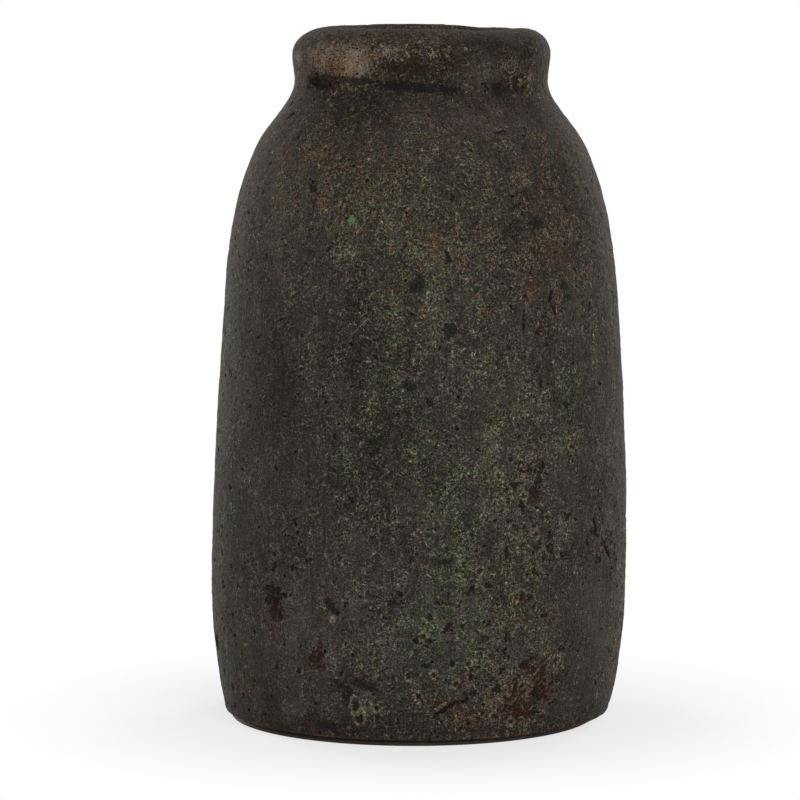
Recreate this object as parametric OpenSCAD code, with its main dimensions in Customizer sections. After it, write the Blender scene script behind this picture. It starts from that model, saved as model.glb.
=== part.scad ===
// Hand-built clay jar under a dark crust of slip, standing on a glued base pad.
// It is put together as a potter builds it: a floor slab, a corner coil, four lapped
// wall courses, a neck collar and a thick rim coil, each a ring of clay of its own.
// All of them are cut from the same skins, so that every joint closes face to face.
// Millimetres, +Z up, origin at the centre of the face that the jar rests on.

/* [Overall] */
// Height from the ground to the crest of the rim
total_h = 457; // [430:1:520]
// Height of the rim above the waist of the neck
rim_h = 35; // [28:1:42]
// Height of the rim's fullest line above the waist of the neck
rim_full_h = 17; // [12:1:22]

/* [Outline] */
// Diameter at the foot, where the bottom corner ends
foot_d = 256.6; // [240:0.2:266]
// Outward lean of the wall at the foot, in degrees
foot_tilt = 14; // [6:1:20]
// Radius of the bottom corner
foot_edge = 7; // [4:0.5:8]
// Diameter at the belly, the widest line of the jar
belly_d = 275; // [262:1:300]
// Height of the belly above the ground
belly_z = 96; // [80:1:130]
// Diameter of the flank, where the wall starts to turn in
flank_d = 260.5; // [250:0.5:268]
// Height of the flank below the waist of the neck
flank_drop = 150; // [120:1:180]
// Inward lean of the wall at the flank, in degrees
flank_tilt = 4.3; // [2:0.1:8]
// Diameter of the shoulder, where the wall turns in fastest
shoulder_d = 215.5; // [200:0.5:225]
// Height of the shoulder below the waist of the neck
shoulder_drop = 42; // [34:1:52]
// Inward lean of the wall at the shoulder, in degrees
shoulder_tilt = 25; // [18:1:32]
// Diameter at the waist of the neck
neck_d = 166; // [156:1:176]
// Diameter at the rim's fullest line
rim_d = 170; // [160:1:182]
// Diameter of the rim's crest
crest_d = 119; // [112:1:128]
// Diameter of the mouth at its narrowest
mouth_d = 98; // [84:1:106]

/* [Clay] */
// Thickness of the wall courses
wall_t = 10; // [8:0.5:13]
// Thickness of the clay at the waist of the neck
neck_t = 21; // [16:0.5:25]
// Inward lean of the inside at the waist of the neck, in degrees
neck_lean = 33; // [20:1:42]
// Thickness of the floor slab
floor_t = 14; // [11:0.5:18]
// Size of the quarter-round coil in the corner between floor and wall
corner_coil_s = 9; // [6:0.5:12]
// Height that a lapped joint climbs from the outside of the wall to the inside
lap = 8; // [4:0.5:10]
// Height of the neck collar below the waist
collar_h = 20; // [15:0.5:26]
// Height of the collar's rounded top inside the rim coil
saddle_h = 5; // [3:0.5:8]

/* [Slip crust] */
// Thickness of the crust of slip over the clay
crust_t = 1.6; // [1:0.1:2.5]

/* [Base pad] */
// Thickness of the pad under the floor
pad_t = 4; // [2:0.5:6]
// Distance that the pad's edge stands in from the bottom corner
pad_setback = 2; // [0.5:0.5:12]
// Radius of the pad's pressed edge
pad_edge = 0.8; // [0.4:0.1:0.9]

/* [Hidden] */

round_fn = 120;    // sides of a full circle
row_step = 6;      // longest step between two rows of an outline
arc_angle = 9;     // longest step along an arc, in degrees
merge_d = 0.01;    // points closer than this are one point
course_count = 4;  // lapped courses between the floor and the collar

// Heights and radii that follow from the driving sizes
floor_top = pad_t + floor_t;
neck_z = total_h - rim_h;
rim_z = neck_z + rim_full_h;
foot_z = pad_t + foot_edge * (1 - sin(foot_tilt));
corner_r = foot_d / 2 - foot_edge * cos(foot_tilt);
floor_joint = floor_top - lap / 2;
collar_joint = neck_z - collar_h;
course_h = (collar_joint - floor_joint) / course_count;

// Stations of [height, radius, slope], first of the outline between its arcs
stations = [
    [foot_z, foot_d / 2, tan(foot_tilt)],
    [belly_z, belly_d / 2, 0],
    [neck_z - flank_drop, flank_d / 2, -tan(flank_tilt)],
    [neck_z - shoulder_drop, shoulder_d / 2, -tan(shoulder_tilt)],
    [neck_z, neck_d / 2, 0],
    [rim_z, rim_d / 2, 0]
];
// Then of the inside, a wall's thickness further in as far as the shoulder
inner_stations = concat(
    [for (i = [0 : 3])
        let (s = stations[i], stretch = sqrt(1 + s[2] * s[2]))
        [s[0], s[1] - (crust_t + wall_t) * stretch, s[2]]],
    [[neck_z, neck_d / 2 - crust_t - neck_t, -tan(neck_lean)],
     [rim_z, mouth_d / 2 + crust_t, 0]]
);

// Radius and slope of the cubic from station a to station b, at the share t of the way
function cubic(a, b, t) =
    let (h = b[0] - a[0])
    (2 * t ^ 3 - 3 * t ^ 2 + 1) * a[1] + (t ^ 3 - 2 * t ^ 2 + t) * h * a[2]
    + (3 * t ^ 2 - 2 * t ^ 3) * b[1] + (t ^ 3 - t ^ 2) * h * b[2];
function cubic_slope(a, b, t) =
    let (h = b[0] - a[0])
    6 * (t ^ 2 - t) * (a[1] - b[1]) / h
    + (3 * t ^ 2 - 4 * t + 1) * a[2] + (3 * t ^ 2 - 2 * t) * b[2];

// Rows of [height, radius, stretch], where a skin at depth d lies d * stretch further in
function rows(st) = [
    for (i = [0 : len(st) - 2])
        let (a = st[i], b = st[i + 1], steps = ceil((b[0] - a[0]) / row_step))
        for (k = [0 : steps - 1])
            let (t = k / steps, s = cubic_slope(a, b, t))
            [a[0] + (b[0] - a[0]) * t, cubic(a, b, t), sqrt(1 + s * s)]
];

// Elliptic arc about height z and radius r, from angle a to angle b
function arc(z, r, reach_z, reach_r, a, b) =
    let (steps = ceil((b - a) / arc_angle))
    [for (k = [0 : steps])
        let (t = a + (b - a) * k / steps)
        [z + reach_z * sin(t), r + reach_r * cos(t)]];

// Rim at depth d, from its fullest line (rim_d) or from the mouth (mouth_d) to the crest
function rim_arc(side_d, d) =
    let (reach = (side_d - crest_d) / 2)
    arc(rim_z, crest_d / 2, total_h - rim_z - d, reach - sign(reach) * d, 0, 90);

// Outer surface at depth d, from the bottom corner to the crest
function skin(d) = concat(
    arc(pad_t + foot_edge, corner_r, foot_edge - d, foot_edge - d, -90, -foot_tilt),
    [for (p = rows(stations)) if (p[0] > foot_z + d * sin(foot_tilt)) [p[0], p[1] - d * p[2]]],
    rim_arc(rim_d, d)
);

// The four skins that every ring is cut from, as tables of [height, radius]
outside = skin(0);
clay = skin(crust_t);
inside = concat([for (p = rows(inner_stations)) [p[0], p[1]]], rim_arc(mouth_d, crust_t));
mouth = rim_arc(mouth_d, 0);

// Section points [radius, height] of a skin from one height to another
function cut(table, low, high) = concat(
    [[lookup(low, table), low]],
    [for (p = table) if (p[0] > low && p[0] < high) [p[1], p[0]]],
    [[lookup(high, table), high]]
);
function reversed(points) = [for (i = [len(points) - 1 : -1 : 0]) points[i]];

// Rounded top of the collar under the rim coil, from the outside in
function saddle() =
    let (wall = lookup(neck_z, clay), bore = lookup(neck_z, inside), half = (wall - bore) / 2,
         radius = (half ^ 2 + saddle_h ^ 2) / (2 * saddle_h), turn = asin(half / radius))
    [for (p = arc(neck_z + saddle_h - radius, bore + half, radius, radius, 90 - turn, 90 + turn))
        [p[1], p[0]]];

// Solid turned from a section, whose runs of points may share their end points
module turned(section) {
    rotate_extrude($fn = round_fn)
        polygon([
            for (i = [0 : len(section) - 1])
                if (i == 0 || norm(section[i] - section[i - 1]) > merge_d) section[i]
        ]);
}

// Lapped ring of clay number i above the floor: each joint climbs towards the inside
module wall_course(i) {
    low = floor_joint + i * course_h;
    high = low + course_h;
    color("#5b3d30")
        turned(concat(
            cut(clay, low - lap / 2, high - lap / 2),
            reversed(cut(inside, low + lap / 2, high + lap / 2))));
}

// Protective pad, glued under the floor slab
module base_pad() {
    edge_r = corner_r - pad_setback - pad_edge;
    low_edge = cut(arc(pad_edge, edge_r, pad_edge, pad_edge, -90, 0), 0, pad_edge);
    high_z = pad_t - pad_edge;
    high_edge = cut(arc(high_z, edge_r, pad_edge, pad_edge, 0, 90), high_z, pad_t);
    color("#2f2b29")
        turned(concat([[0, 0]], low_edge, high_edge, [[0, pad_t]]));
}

// Round slab whose bevelled edge carries the first wall course
module floor_slab() {
    color("#5b3d30")
        turned(concat(
            [[0, pad_t], [corner_r, pad_t]],
            cut(clay, pad_t + crust_t, floor_joint - lap / 2),
            [[lookup(floor_top, inside), floor_top], [0, floor_top]]));
}

// Coil pressed into the corner between floor and wall, inside the jar
module corner_coil() {
    wall = cut(inside, floor_top, floor_top + corner_coil_s);
    top_r = wall[len(wall) - 1][0];
    reach = top_r - wall[0][0] + corner_coil_s;
    color("#63443a")
        turned(concat(
            wall,
            reversed(cut(arc(floor_top, top_r, corner_coil_s, -reach, 0, 90),
                         floor_top, floor_top + corner_coil_s))));
}

// Short thick ring whose rounded top carries the rim
module neck_collar() {
    color("#5b3d30")
        turned(concat(
            cut(clay, collar_joint - lap / 2, neck_z),
            saddle(),
            reversed(cut(inside, collar_joint + lap / 2, neck_z))));
}

// Thick rolled coil that makes the rim, pressed down over the collar
module rim_coil() {
    color("#5b3d30")
        turned(concat(
            cut(clay, neck_z, total_h - crust_t),
            reversed(cut(inside, neck_z, total_h - crust_t)),
            reversed(saddle())));
}

// Crust of slip over the outside and the rim, down to the narrowest part of the mouth
module slip_crust() {
    color("#3b3832")
        turned(concat(
            cut(outside, pad_t, total_h),
            reversed(cut(mouth, rim_z, total_h)),
            cut(inside, rim_z, total_h - crust_t),
            reversed(cut(clay, pad_t + crust_t, total_h - crust_t))));
}

base_pad();
floor_slab();
corner_coil();
wall_course(0);  // foot_course
wall_course(1);  // belly_course
wall_course(2);  // flank_course
wall_course(3);  // shoulder_course
neck_collar();
rim_coil();
slip_crust();
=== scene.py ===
# %% [markdown]
# # A hand-built clay jar under a dark crust of slip
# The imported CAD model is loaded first, as a fixed frame: metres, +Z up, the jar
# standing on z = 0. Every piece below is modelled in that frame, so nothing is
# fitted afterwards. Blender's part of the work is what hands and fire did to the
# jar: its lean and wobble, the pitted crust, the flaked scars and the patina.

# %% Load the frame
import math
import random

import bmesh
import bpy
import numpy as np
from mathutils import Matrix, Vector
from mathutils.bvhtree import BVHTree


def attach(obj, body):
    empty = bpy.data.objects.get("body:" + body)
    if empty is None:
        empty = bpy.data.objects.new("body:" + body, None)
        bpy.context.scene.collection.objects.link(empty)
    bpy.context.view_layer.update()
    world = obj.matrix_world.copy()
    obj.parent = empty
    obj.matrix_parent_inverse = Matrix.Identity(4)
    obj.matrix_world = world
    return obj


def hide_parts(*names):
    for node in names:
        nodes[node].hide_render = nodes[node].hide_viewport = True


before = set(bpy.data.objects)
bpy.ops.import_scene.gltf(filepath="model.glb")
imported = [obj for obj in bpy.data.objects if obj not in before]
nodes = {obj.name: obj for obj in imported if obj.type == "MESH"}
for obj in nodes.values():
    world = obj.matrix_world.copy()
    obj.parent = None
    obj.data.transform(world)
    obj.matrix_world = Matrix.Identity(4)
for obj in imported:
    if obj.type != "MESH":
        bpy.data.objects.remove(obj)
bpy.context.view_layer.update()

MM = 0.001

# %% [markdown]
# ## The photograph's points and the camera
# The points are pixels of the 800 by 800 photograph: where the jar's outline ends
# on each side, and the middle of each mark that a visitor would recognise. The
# camera looks slightly down at the jar from about three metres through a long
# lens, so the sides hardly converge. It is aimed with its rotation, without shift.

# %% Image points and camera
IMAGE_W = IMAGE_H = 800
POINTS = {
    "left_edge": (211.7, 563),
    "right_edge": (626.4, 539),
    "top_edge": (410, 22.7),
    "bottom_edge": (384, 746.6),
    "rim_patch": (345, 62),
    "rim_chip": (299, 57),
    "rim_crease": (412, 89),
    "rim_crumbs": (506, 90),
    "rust_spot": (326, 149),
    "green_dot": (352, 220),
    "dark_spot_high": (417, 286),
    "dark_spot_middle": (450, 331),
    "dark_spot_low": (410, 386),
    "flake_right": (540, 487),
    "crack_right": (603, 540),
    "scar_left": (271, 608),
    "pale_spot": (332, 618),
    "scar_low": (316, 658),
    "pale_ring": (360, 709),
    "flaked_patch": (533, 680),
}

LENS_MM = 202.8
SENSOR_MM = 36.0
CAMERA_PLACE = Vector((0, -2.9683, 0.5407))
CAMERA_DOWN = math.radians(6.3526)
CAMERA_LEFT = math.radians(0.254)

lens = bpy.data.cameras.new("camera")
lens.lens = LENS_MM
lens.sensor_width = SENSOR_MM
lens.sensor_fit = "AUTO"
camera = bpy.data.objects.new("camera", lens)
camera.location = CAMERA_PLACE
camera.rotation_euler = (math.pi / 2 - CAMERA_DOWN, 0, CAMERA_LEFT)
bpy.context.collection.objects.link(camera)
bpy.context.scene.camera = camera
bpy.context.view_layer.update()
print("camera at", tuple(round(c, 3) for c in camera.location), "lens", lens.lens, "mm")

# %% [markdown]
# Two functions tie the picture to the jar. One sends a ray through an image point
# and gives the place where it meets a surface, or the surface nearest to the ray.
# The other does the opposite, and tells where a place on the jar shows. Two small
# helpers below them read and print where the vertices of the pieces are.

# %% From the picture to the surface and back
LONG_SIDE = max(IMAGE_W, IMAGE_H)


def place(point, surface):
    """Place and normal on a BVHTree where the ray through an image point meets it."""
    x, y = point
    ray = Vector((x - IMAGE_W / 2 + lens.shift_x * LONG_SIDE,
                  IMAGE_H / 2 - y + lens.shift_y * LONG_SIDE,
                  -LONG_SIDE * lens.lens / lens.sensor_width))
    eye = camera.matrix_world.translation
    way = (camera.matrix_world.to_quaternion() @ ray).normalized()
    hit, normal, *_ = surface.ray_cast(eye, way)
    if hit is None:
        near = eye + way * (-eye).dot(way)
        hit, normal, *_ = surface.find_nearest(near)
    return hit, normal


def shown_at(points):
    """Pixel x and y of an array of places, each row one place."""
    view = np.array(camera.matrix_world.inverted())
    seen = points @ view[:3, :3].T + view[:3, 3]
    scale = LONG_SIDE * lens.lens / lens.sensor_width / -seen[:, 2]
    x = IMAGE_W / 2 - lens.shift_x * LONG_SIDE + seen[:, 0] * scale
    y = IMAGE_H / 2 + lens.shift_y * LONG_SIDE - seen[:, 1] * scale
    return np.stack([x, y], axis=1)


def coordinates(*objects):
    """All vertices of mesh objects, as one array."""
    parts = [np.empty(len(obj.data.vertices) * 3, dtype=np.float32) for obj in objects]
    for obj, part in zip(objects, parts):
        obj.data.vertices.foreach_get("co", part)
    return np.concatenate(parts).reshape(-1, 3).astype(float)


def print_width(label, objects):
    """Print how far some pieces reach to the left and right."""
    x = coordinates(*objects)[:, 0] / MM
    print(label, "x from", round(x.min(), 1), "to", round(x.max(), 1), "mm")


# %% [markdown]
# ## Turning the pieces from their own sections
# A hand-built jar is still a turned shape underneath. So each piece starts as a
# copy of its CAD solid, which is cut through with the bisect tool until only the
# outline of the cut is left. That outline gets more points where the surface shows,
# and the Screw modifier turns it around the axis. The new mesh has even rows and
# columns of faces, which the relief below needs, and the size of the CAD solid.

# %% Helpers for selecting and editing
def alone(obj):
    """Select one object and make it the active one."""
    if bpy.context.object and bpy.context.object.mode != "OBJECT":
        bpy.ops.object.mode_set(mode="OBJECT")
    bpy.ops.object.select_all(action="DESELECT")
    obj.select_set(True)
    bpy.context.view_layer.objects.active = obj


def edit_all(obj):
    """Open one object in edit mode, with everything selected."""
    alone(obj)
    bpy.ops.object.mode_set(mode="EDIT")
    bpy.ops.mesh.select_all(action="SELECT")


def end_edit():
    bpy.ops.object.mode_set(mode="OBJECT")


def cut_away(point, normal, **settings):
    """Bisect everything at a plane, and clear the side that its normal points away from."""
    bpy.ops.mesh.select_all(action="SELECT")
    bpy.ops.mesh.bisect(plane_co=point, plane_no=normal, clear_inner=True, **settings)


def copy_of(obj, name):
    """A copy with its own mesh, alone in the selection."""
    piece = bpy.data.objects.new(name, obj.data.copy())
    bpy.context.collection.objects.link(piece)
    piece.data.materials.clear()
    alone(piece)
    bpy.ops.mesh.customdata_custom_splitnormals_clear()
    return piece


def pick(obj, kind, test):
    """In edit mode, select only the verts or edges that pass a test."""
    mesh = bmesh.from_edit_mesh(obj.data)
    bpy.context.tool_settings.mesh_select_mode = (kind == "verts", kind == "edges", False)
    for item in (*mesh.verts, *mesh.edges):
        item.select = False
    picked = [item for item in getattr(mesh, kind) if test(item)]
    for item in picked:
        item.select_set(True)
    mesh.select_flush_mode()
    bmesh.update_edit_mesh(obj.data)
    return len(picked)


def apply_all(obj):
    alone(obj)
    for modifier in list(obj.modifiers):
        bpy.ops.object.modifier_apply(modifier=modifier.name)


# %% The outline of a node's section
WELD = 0.01 * MM
SECTION_WELD = 0.3 * MM
SMOOTH_SHARE = 0.5
SMOOTH_REPEAT = 10
CENTRE = (0, 0, 0)


def middle_of(edge):
    return (edge.verts[0].co + edge.verts[1].co) / 2


def section_of(node, name, row, shown):
    """Half section of a CAD node as a loop of edges; rows are `row` apart where it shows."""
    piece = copy_of(nodes[node], name)
    edit_all(piece)
    bpy.ops.mesh.remove_doubles(threshold=WELD)
    cut_away(CENTRE, (0, 1, 0), clear_outer=True)
    cut_away(CENTRE, (1, 0, 0))
    bpy.ops.mesh.select_all(action="SELECT")
    bpy.ops.mesh.remove_doubles(threshold=SECTION_WELD)
    longest = max(e.calc_length() for e in bmesh.from_edit_mesh(piece.data).edges)
    for cuts in range(int(longest / row), 0, -1):
        low = (cuts + 0.5) * row
        high = low + row
        if pick(piece, "edges", lambda e: low <= e.calc_length() < high and shown(middle_of(e))):
            bpy.ops.mesh.subdivide(number_cuts=cuts)
    pick(piece, "verts", lambda v: all(shown(middle_of(e)) for e in v.link_edges))
    bpy.ops.mesh.vertices_smooth(factor=SMOOTH_SHARE, repeat=SMOOTH_REPEAT)
    end_edit()
    print(name, "has", len(piece.data.vertices), "points")
    return piece


ROW = 1.08 * MM
CLAY_NODES = ("floor_slab", "corner_coil", "foot_course", "belly_course", "flank_course",
              "shoulder_course", "neck_collar", "rim_coil")
SKIN_GAP = 0.3 * MM


def surface_of(*objects):
    """One BVHTree of several mesh objects."""
    verts, faces = [], []
    for obj in objects:
        start = len(verts)
        verts += [v.co.copy() for v in obj.data.vertices]
        faces += [[start + i for i in face.vertices] for face in obj.data.polygons]
    return BVHTree.FromPolygons(verts, faces)


clay_surface = surface_of(*(nodes[name] for name in CLAY_NODES))


def off_the_clay(spot):
    """True on the shown side of the crust, false where the crust lies on the clay."""
    return clay_surface.find_nearest(spot)[3] > SKIN_GAP


crust_section = section_of("slip_crust", "crust_section", ROW, off_the_clay)

# %% [markdown]
# A mesh may hold 200,000 triangles, and this crust needs more for its pits. So the
# outline is cut into five bands with the bisect tool before it is turned. Two bands
# that meet share the same row of points, and every relief below depends only on a
# point's place, so the crust still looks like one skin.

# %% Turn the crust in bands
COLUMNS = 800
BANDS = {"crust_foot": (0, 100.3), "crust_belly": (100.3, 207.3), "crust_flank": (207.3, 309.3),
         "crust_shoulder": (309.3, 403.3), "crust_rim": (403.3, 470)}
EXACT = 0.002 * MM
TURN_WELD = 0.02 * MM


def mark_shown(piece, shown):
    """Keep, on each point of a section, whether it shows from outside."""
    field = piece.data.attributes.new("shown", "FLOAT", "POINT")
    field.data.foreach_set("value", [float(shown(v.co)) for v in piece.data.vertices])


def turn(piece, columns):
    """Turn a section around the axis, and close it."""
    screw = piece.modifiers.new("turn", "SCREW")
    screw.axis = "Z"
    screw.angle = 2 * math.pi
    screw.steps = screw.render_steps = columns
    screw.use_merge_vertices = True
    screw.merge_threshold = TURN_WELD
    screw.use_smooth_shade = True
    apply_all(piece)
    edit_all(piece)
    bpy.ops.mesh.remove_doubles(threshold=TURN_WELD)
    bpy.ops.mesh.normals_make_consistent(inside=False)
    end_edit()
    return piece


bands = []
for name, (low, high) in BANDS.items():
    band = copy_of(crust_section, name)
    edit_all(band)
    for height, way in ((low * MM, 1), (high * MM, -1)):
        cut_away((0, 0, height), (0, 0, way), threshold=EXACT)
        if pick(band, "verts", lambda v: abs(v.co.z - height) < EXACT) == 2:
            bpy.ops.mesh.edge_face_add()
    end_edit()
    mark_shown(band, off_the_clay)
    bands.append(turn(band, COLUMNS))
    print(name, "has", 2 * len(band.data.polygons), "triangles")
bpy.data.objects.remove(crust_section)

# %% [markdown]
# ## The same pattern for shape and for colour
# A pit in the crust is both a hollow and a darker spot. So the patterns are built by
# functions that add nodes to a tree, and they work in a Geometry Nodes tree, which
# moves the surface, as well as in a shader tree, which colours it. Both trees read
# one attribute, `rest`: where each point was before the relief.
#
# `work_in` says which tree the helpers add to. A `Value` is one output of a node,
# and adding, subtracting or multiplying values adds the Math nodes for it.

# %% Helpers for nodes
class Work:
    tree = None


def work_in(tree):
    """Let the helpers below add their nodes to this tree."""
    Work.tree = tree


class Value:
    """One output of a node, with + - * that add Math nodes."""

    def __init__(self, socket):
        self.socket = socket

    def __add__(self, other):
        return calc("ADD", self, other)

    def __radd__(self, other):
        return calc("ADD", other, self)

    def __sub__(self, other):
        return calc("SUBTRACT", self, other)

    def __rsub__(self, other):
        return calc("SUBTRACT", other, self)

    def __mul__(self, other):
        return calc("MULTIPLY", self, other)


def connect(value, socket):
    """Give an input a Value to link from, or a number of its own."""
    if isinstance(value, Value):
        Work.tree.links.new(value.socket, socket)
    else:
        socket.default_value = value


def new_node(kind, inputs=None, **settings):
    """Add a node with these inputs and settings."""
    node = Work.tree.nodes.new(kind)
    for name, value in settings.items():
        setattr(node, name, value)
    for key, value in (inputs or {}).items():
        connect(value, node.inputs[key])
    return node


def add(kind, inputs=None, output=0, **settings):
    """Add a node; returns one of its outputs."""
    return Value(new_node(kind, inputs, **settings).outputs[output])


def calc(operation, *values):
    """Math node; returns its result."""
    return add("ShaderNodeMath", dict(enumerate(values)), operation=operation)


def vector_of(operation, inputs, output=0):
    """Vector Math node; returns its vector, or its length as output 1."""
    return add("ShaderNodeVectorMath", inputs, output, operation=operation)


def axes_of(vector):
    """The x, y and z of a vector, as three values."""
    return [Value(s) for s in new_node("ShaderNodeSeparateXYZ", {0: vector}).outputs]


def clouds(at, size, detail=2, rough=0.5):
    """Soft noise between 0 and 1; `size` is how wide its spots are, in mm."""
    return add("ShaderNodeTexNoise", {"Vector": at, "Scale": 1 / (size * MM), "Detail": detail,
                                      "Roughness": rough})


def cells(at, size, feature="F1"):
    """Distances and colours of Voronoi cells about `size` mm wide."""
    node = new_node("ShaderNodeTexVoronoi", {"Vector": at, "Scale": 1 / (size * MM)},
                    feature=feature)
    return [Value(socket) for socket in node.outputs]


def rise(value, low, high, bottom=0, top=1):
    """Smooth step: `bottom` below `low`, `top` above `high`."""
    return add("ShaderNodeMapRange", {0: value, 1: low, 2: high, 3: bottom, 4: top},
               interpolation_type="SMOOTHSTEP")


def fall(value, low, high, top=1):
    """Smooth step down: `top` below `low`, 0 above `high`."""
    return rise(value, low, high, top, 0)


def centred(value, gain):
    """How far a noise is above or below its middle, times a gain."""
    return (value - 0.5) * gain


def larger(first, second):
    return calc("MAXIMUM", first, second)


def clamped(value):
    """The value, kept between 0 and 1."""
    return calc("MINIMUM", larger(value, 0), 1)


def shift_by_noise(at, size, reach):
    """The place `at`, moved by up to `reach` mm, so that patterns look less regular."""
    colour = add("ShaderNodeTexNoise", {"Vector": at, "Scale": 1 / (size * MM), "Detail": 1}, 1)
    offset = vector_of("SUBTRACT", {0: colour, 1: (0.5, 0.5, 0.5)})
    return vector_of("MULTIPLY_ADD", {0: offset, 1: (2 * reach * MM,) * 3, 2: at})


# %% [markdown]
# ## Hand-made shape
# A jar built from coils leans a little, and the paddle leaves soft flats. Geometry
# Nodes move every point along `out`: straight away from the axis on the body, and
# away from the middle of the coil on the rim. The mesh's own normals aren't used,
# because they differ where two bands meet, and the bands would come apart.

# %% Sizes of the hand-made shape
LEAN = 0.0059
LEAN_Z = 290 * MM
BOW = 1.2 * MM
BOW_STARTS = (60 * MM, 180 * MM)
BOW_ENDS = (230 * MM, 350 * MM)
FOOT_SHIFT = -0.5 * MM
FOOT_ENDS = (6 * MM, 14 * MM)
CORNER = 2.6 * MM
CORNER_ENDS = (4 * MM, 9 * MM)
RIM_DIP = 1.6 * MM
DIP_STARTS = (12 * MM, 40 * MM)
DIP_TURNS = (58 * MM, 78 * MM)
DIP_TURNS_TO = -0.8
DIP_HEIGHTS = (425 * MM, 450 * MM)
RIM_MIDDLE_R = 59.5 * MM
RIM_MIDDLE_Z = 439 * MM
HANDS = 0.35 * MM
HANDS_WIDTH = 130
PADDLE = 0.2 * MM
PADDLE_WIDTH = 42


# %% Helpers for geometry trees
def new_geometry_tree(name):
    """Start a geometry tree; returns it, the mesh that comes in and where it goes out."""
    tree = bpy.data.node_groups.new(name, "GeometryNodeTree")
    for way in ("INPUT", "OUTPUT"):
        tree.interface.new_socket("Geometry", in_out=way, socket_type="NodeSocketGeometry")
    start = tree.nodes.new("NodeGroupInput")
    end = tree.nodes.new("NodeGroupOutput")
    work_in(tree)
    return tree, Value(start.outputs[0]), end.inputs[0]


def enabled(sockets, name):
    """The socket of this name that fits the node's data type."""
    return next(s for s in sockets if s.enabled and s.name == name)


def named(name, kind="FLOAT"):
    """Read a point attribute."""
    node = new_node("GeometryNodeInputNamedAttribute", {"Name": name}, data_type=kind)
    return Value(enabled(node.outputs, "Attribute"))


def store(geometry, name, value, kind="FLOAT"):
    """Write a point attribute."""
    node = new_node("GeometryNodeStoreNamedAttribute", {"Geometry": geometry, "Name": name},
                    data_type=kind, domain="POINT")
    connect(value, enabled(node.inputs, "Value"))
    return Value(node.outputs[0])


def move(geometry, direction, distance):
    offset = vector_of("SCALE", {0: direction, "Scale": distance})
    return add("GeometryNodeSetPosition", {"Geometry": geometry, "Offset": offset})


def swing(value, low, high, reach):
    """Smooth step from -reach to reach."""
    return rise(value, low, high, -reach, reach)


def by_nodes(piece, tree):
    """Run a geometry tree on a piece, and apply it."""
    modifier = piece.modifiers.new(tree.name, "NODES")
    modifier.node_group = tree
    apply_all(piece)


# %% Directions and the hand-made wobble
def away(at):
    """Direction away from the axis, and on the rim away from the middle of its coil."""
    x, y, z = axes_of(at)
    flat = add("ShaderNodeCombineXYZ", {0: x, 1: y})
    radius = vector_of("LENGTH", {0: flat}, output=1)
    side = radius - RIM_MIDDLE_R
    up = calc("MAXIMUM", z - RIM_MIDDLE_Z, 0)
    scaled = vector_of("SCALE", {0: flat, "Scale": calc("DIVIDE", side, radius)})
    mixed = vector_of("ADD", {0: scaled, 1: add("ShaderNodeCombineXYZ", {2: up})})
    return vector_of("NORMALIZE", {0: mixed})


def sideways(height):
    """How far the jar leans and bows to the right at each height, in metres."""
    lean = (height - LEAN_Z) * LEAN
    bow = rise(height, *BOW_STARTS) * fall(height, *BOW_ENDS)
    return lean + bow * BOW + fall(height, *FOOT_ENDS, FOOT_SHIFT)


def wobble(at):
    """How far the potter's hands and paddle moved the wall, in metres."""
    hands = swing(clouds(at, HANDS_WIDTH, detail=0), 0.2, 0.8, HANDS)
    return hands + swing(clouds(at, PADDLE_WIDTH, detail=1), 0.25, 0.75, PADDLE)


hand_shape, mesh_in, mesh_out = new_geometry_tree("hand-made shape")
here = add("GeometryNodeInputPosition")
right, _, height = axes_of(here)
pressed = wobble(here) + fall(height, *CORNER_ENDS, CORNER)
dip_right = rise(right, *DIP_STARTS) * rise(right, *DIP_TURNS, 1, DIP_TURNS_TO)
dipped = dip_right * rise(height, *DIP_HEIGHTS) * -RIM_DIP
moved = add("ShaderNodeCombineXYZ", {0: sideways(height), 2: dipped})
shaped = store(mesh_in, "out", away(here), "FLOAT_VECTOR")
shaped = move(shaped, named("out", "FLOAT_VECTOR"), pressed)
shaped = move(shaped, moved, 1)
shaped = store(shaped, "rest", add("GeometryNodeInputPosition"), "FLOAT_VECTOR")
connect(shaped, mesh_out)

for band in bands:
    by_nodes(band, hand_shape)
print_width("hand-made shape:", bands)

# %% [markdown]
# ## Marks on the crust
# Kiln, soil and hands leave marks that have a place: a flake that fell off and
# shows red clay, a smooth soot spot, a pale ring around a burst bubble, moss-green
# copper bloom, tan patches on the rim. Each one is painted as a soft spot into an
# attribute of its kind. Noise in the node trees then gives the spots ragged edges.
# Marks in view start from their image points; those at the back are drawn by lot.

# %% Where marks can sit
carrier = surface_of(*bands)
FAR = 1.0


def wall_at(way, z):
    """Place and normal on the wall at height z, in a direction from the axis."""
    hit, normal, *_ = carrier.ray_cast(Vector((0, 0, z)) + way * FAR, -way)
    return hit, normal


def spot_at(name, right=0, up=0):
    """The place of an image point, moved `right` around the wall and `up`, in mm."""
    hit, _ = place(POINTS[name], carrier)
    way = Vector((hit.x, hit.y, 0))
    way = Matrix.Rotation(right * MM / way.length, 3, "Z") @ way.normalized()
    return wall_at(way, hit.z + up * MM)


def spot_around(turn_angle, z):
    """The place at height z mm on the wall; the angle runs from the front to the right."""
    return wall_at(Vector((math.sin(turn_angle), -math.cos(turn_angle), 0)), z * MM)


# %% Ways to note marks
KINDS = ("scar", "sore", "soot", "pale", "crack", "crease", "tan", "moss", "straw", "mauve",
         "brown", "rust", "crumb", "pitted", "smooth", "dim")
VEILS = KINDS[6:]
marks = []
lot = random.Random(18)


def mark(kind, spot, half_width, half_height, tilt=0, strength=1):
    """Note a mark of a kind at a spot; sizes in mm, tilt in degrees to the right."""
    marks.append((kind, *spot, half_width * MM, half_height * MM, math.radians(tilt), strength))


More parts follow.
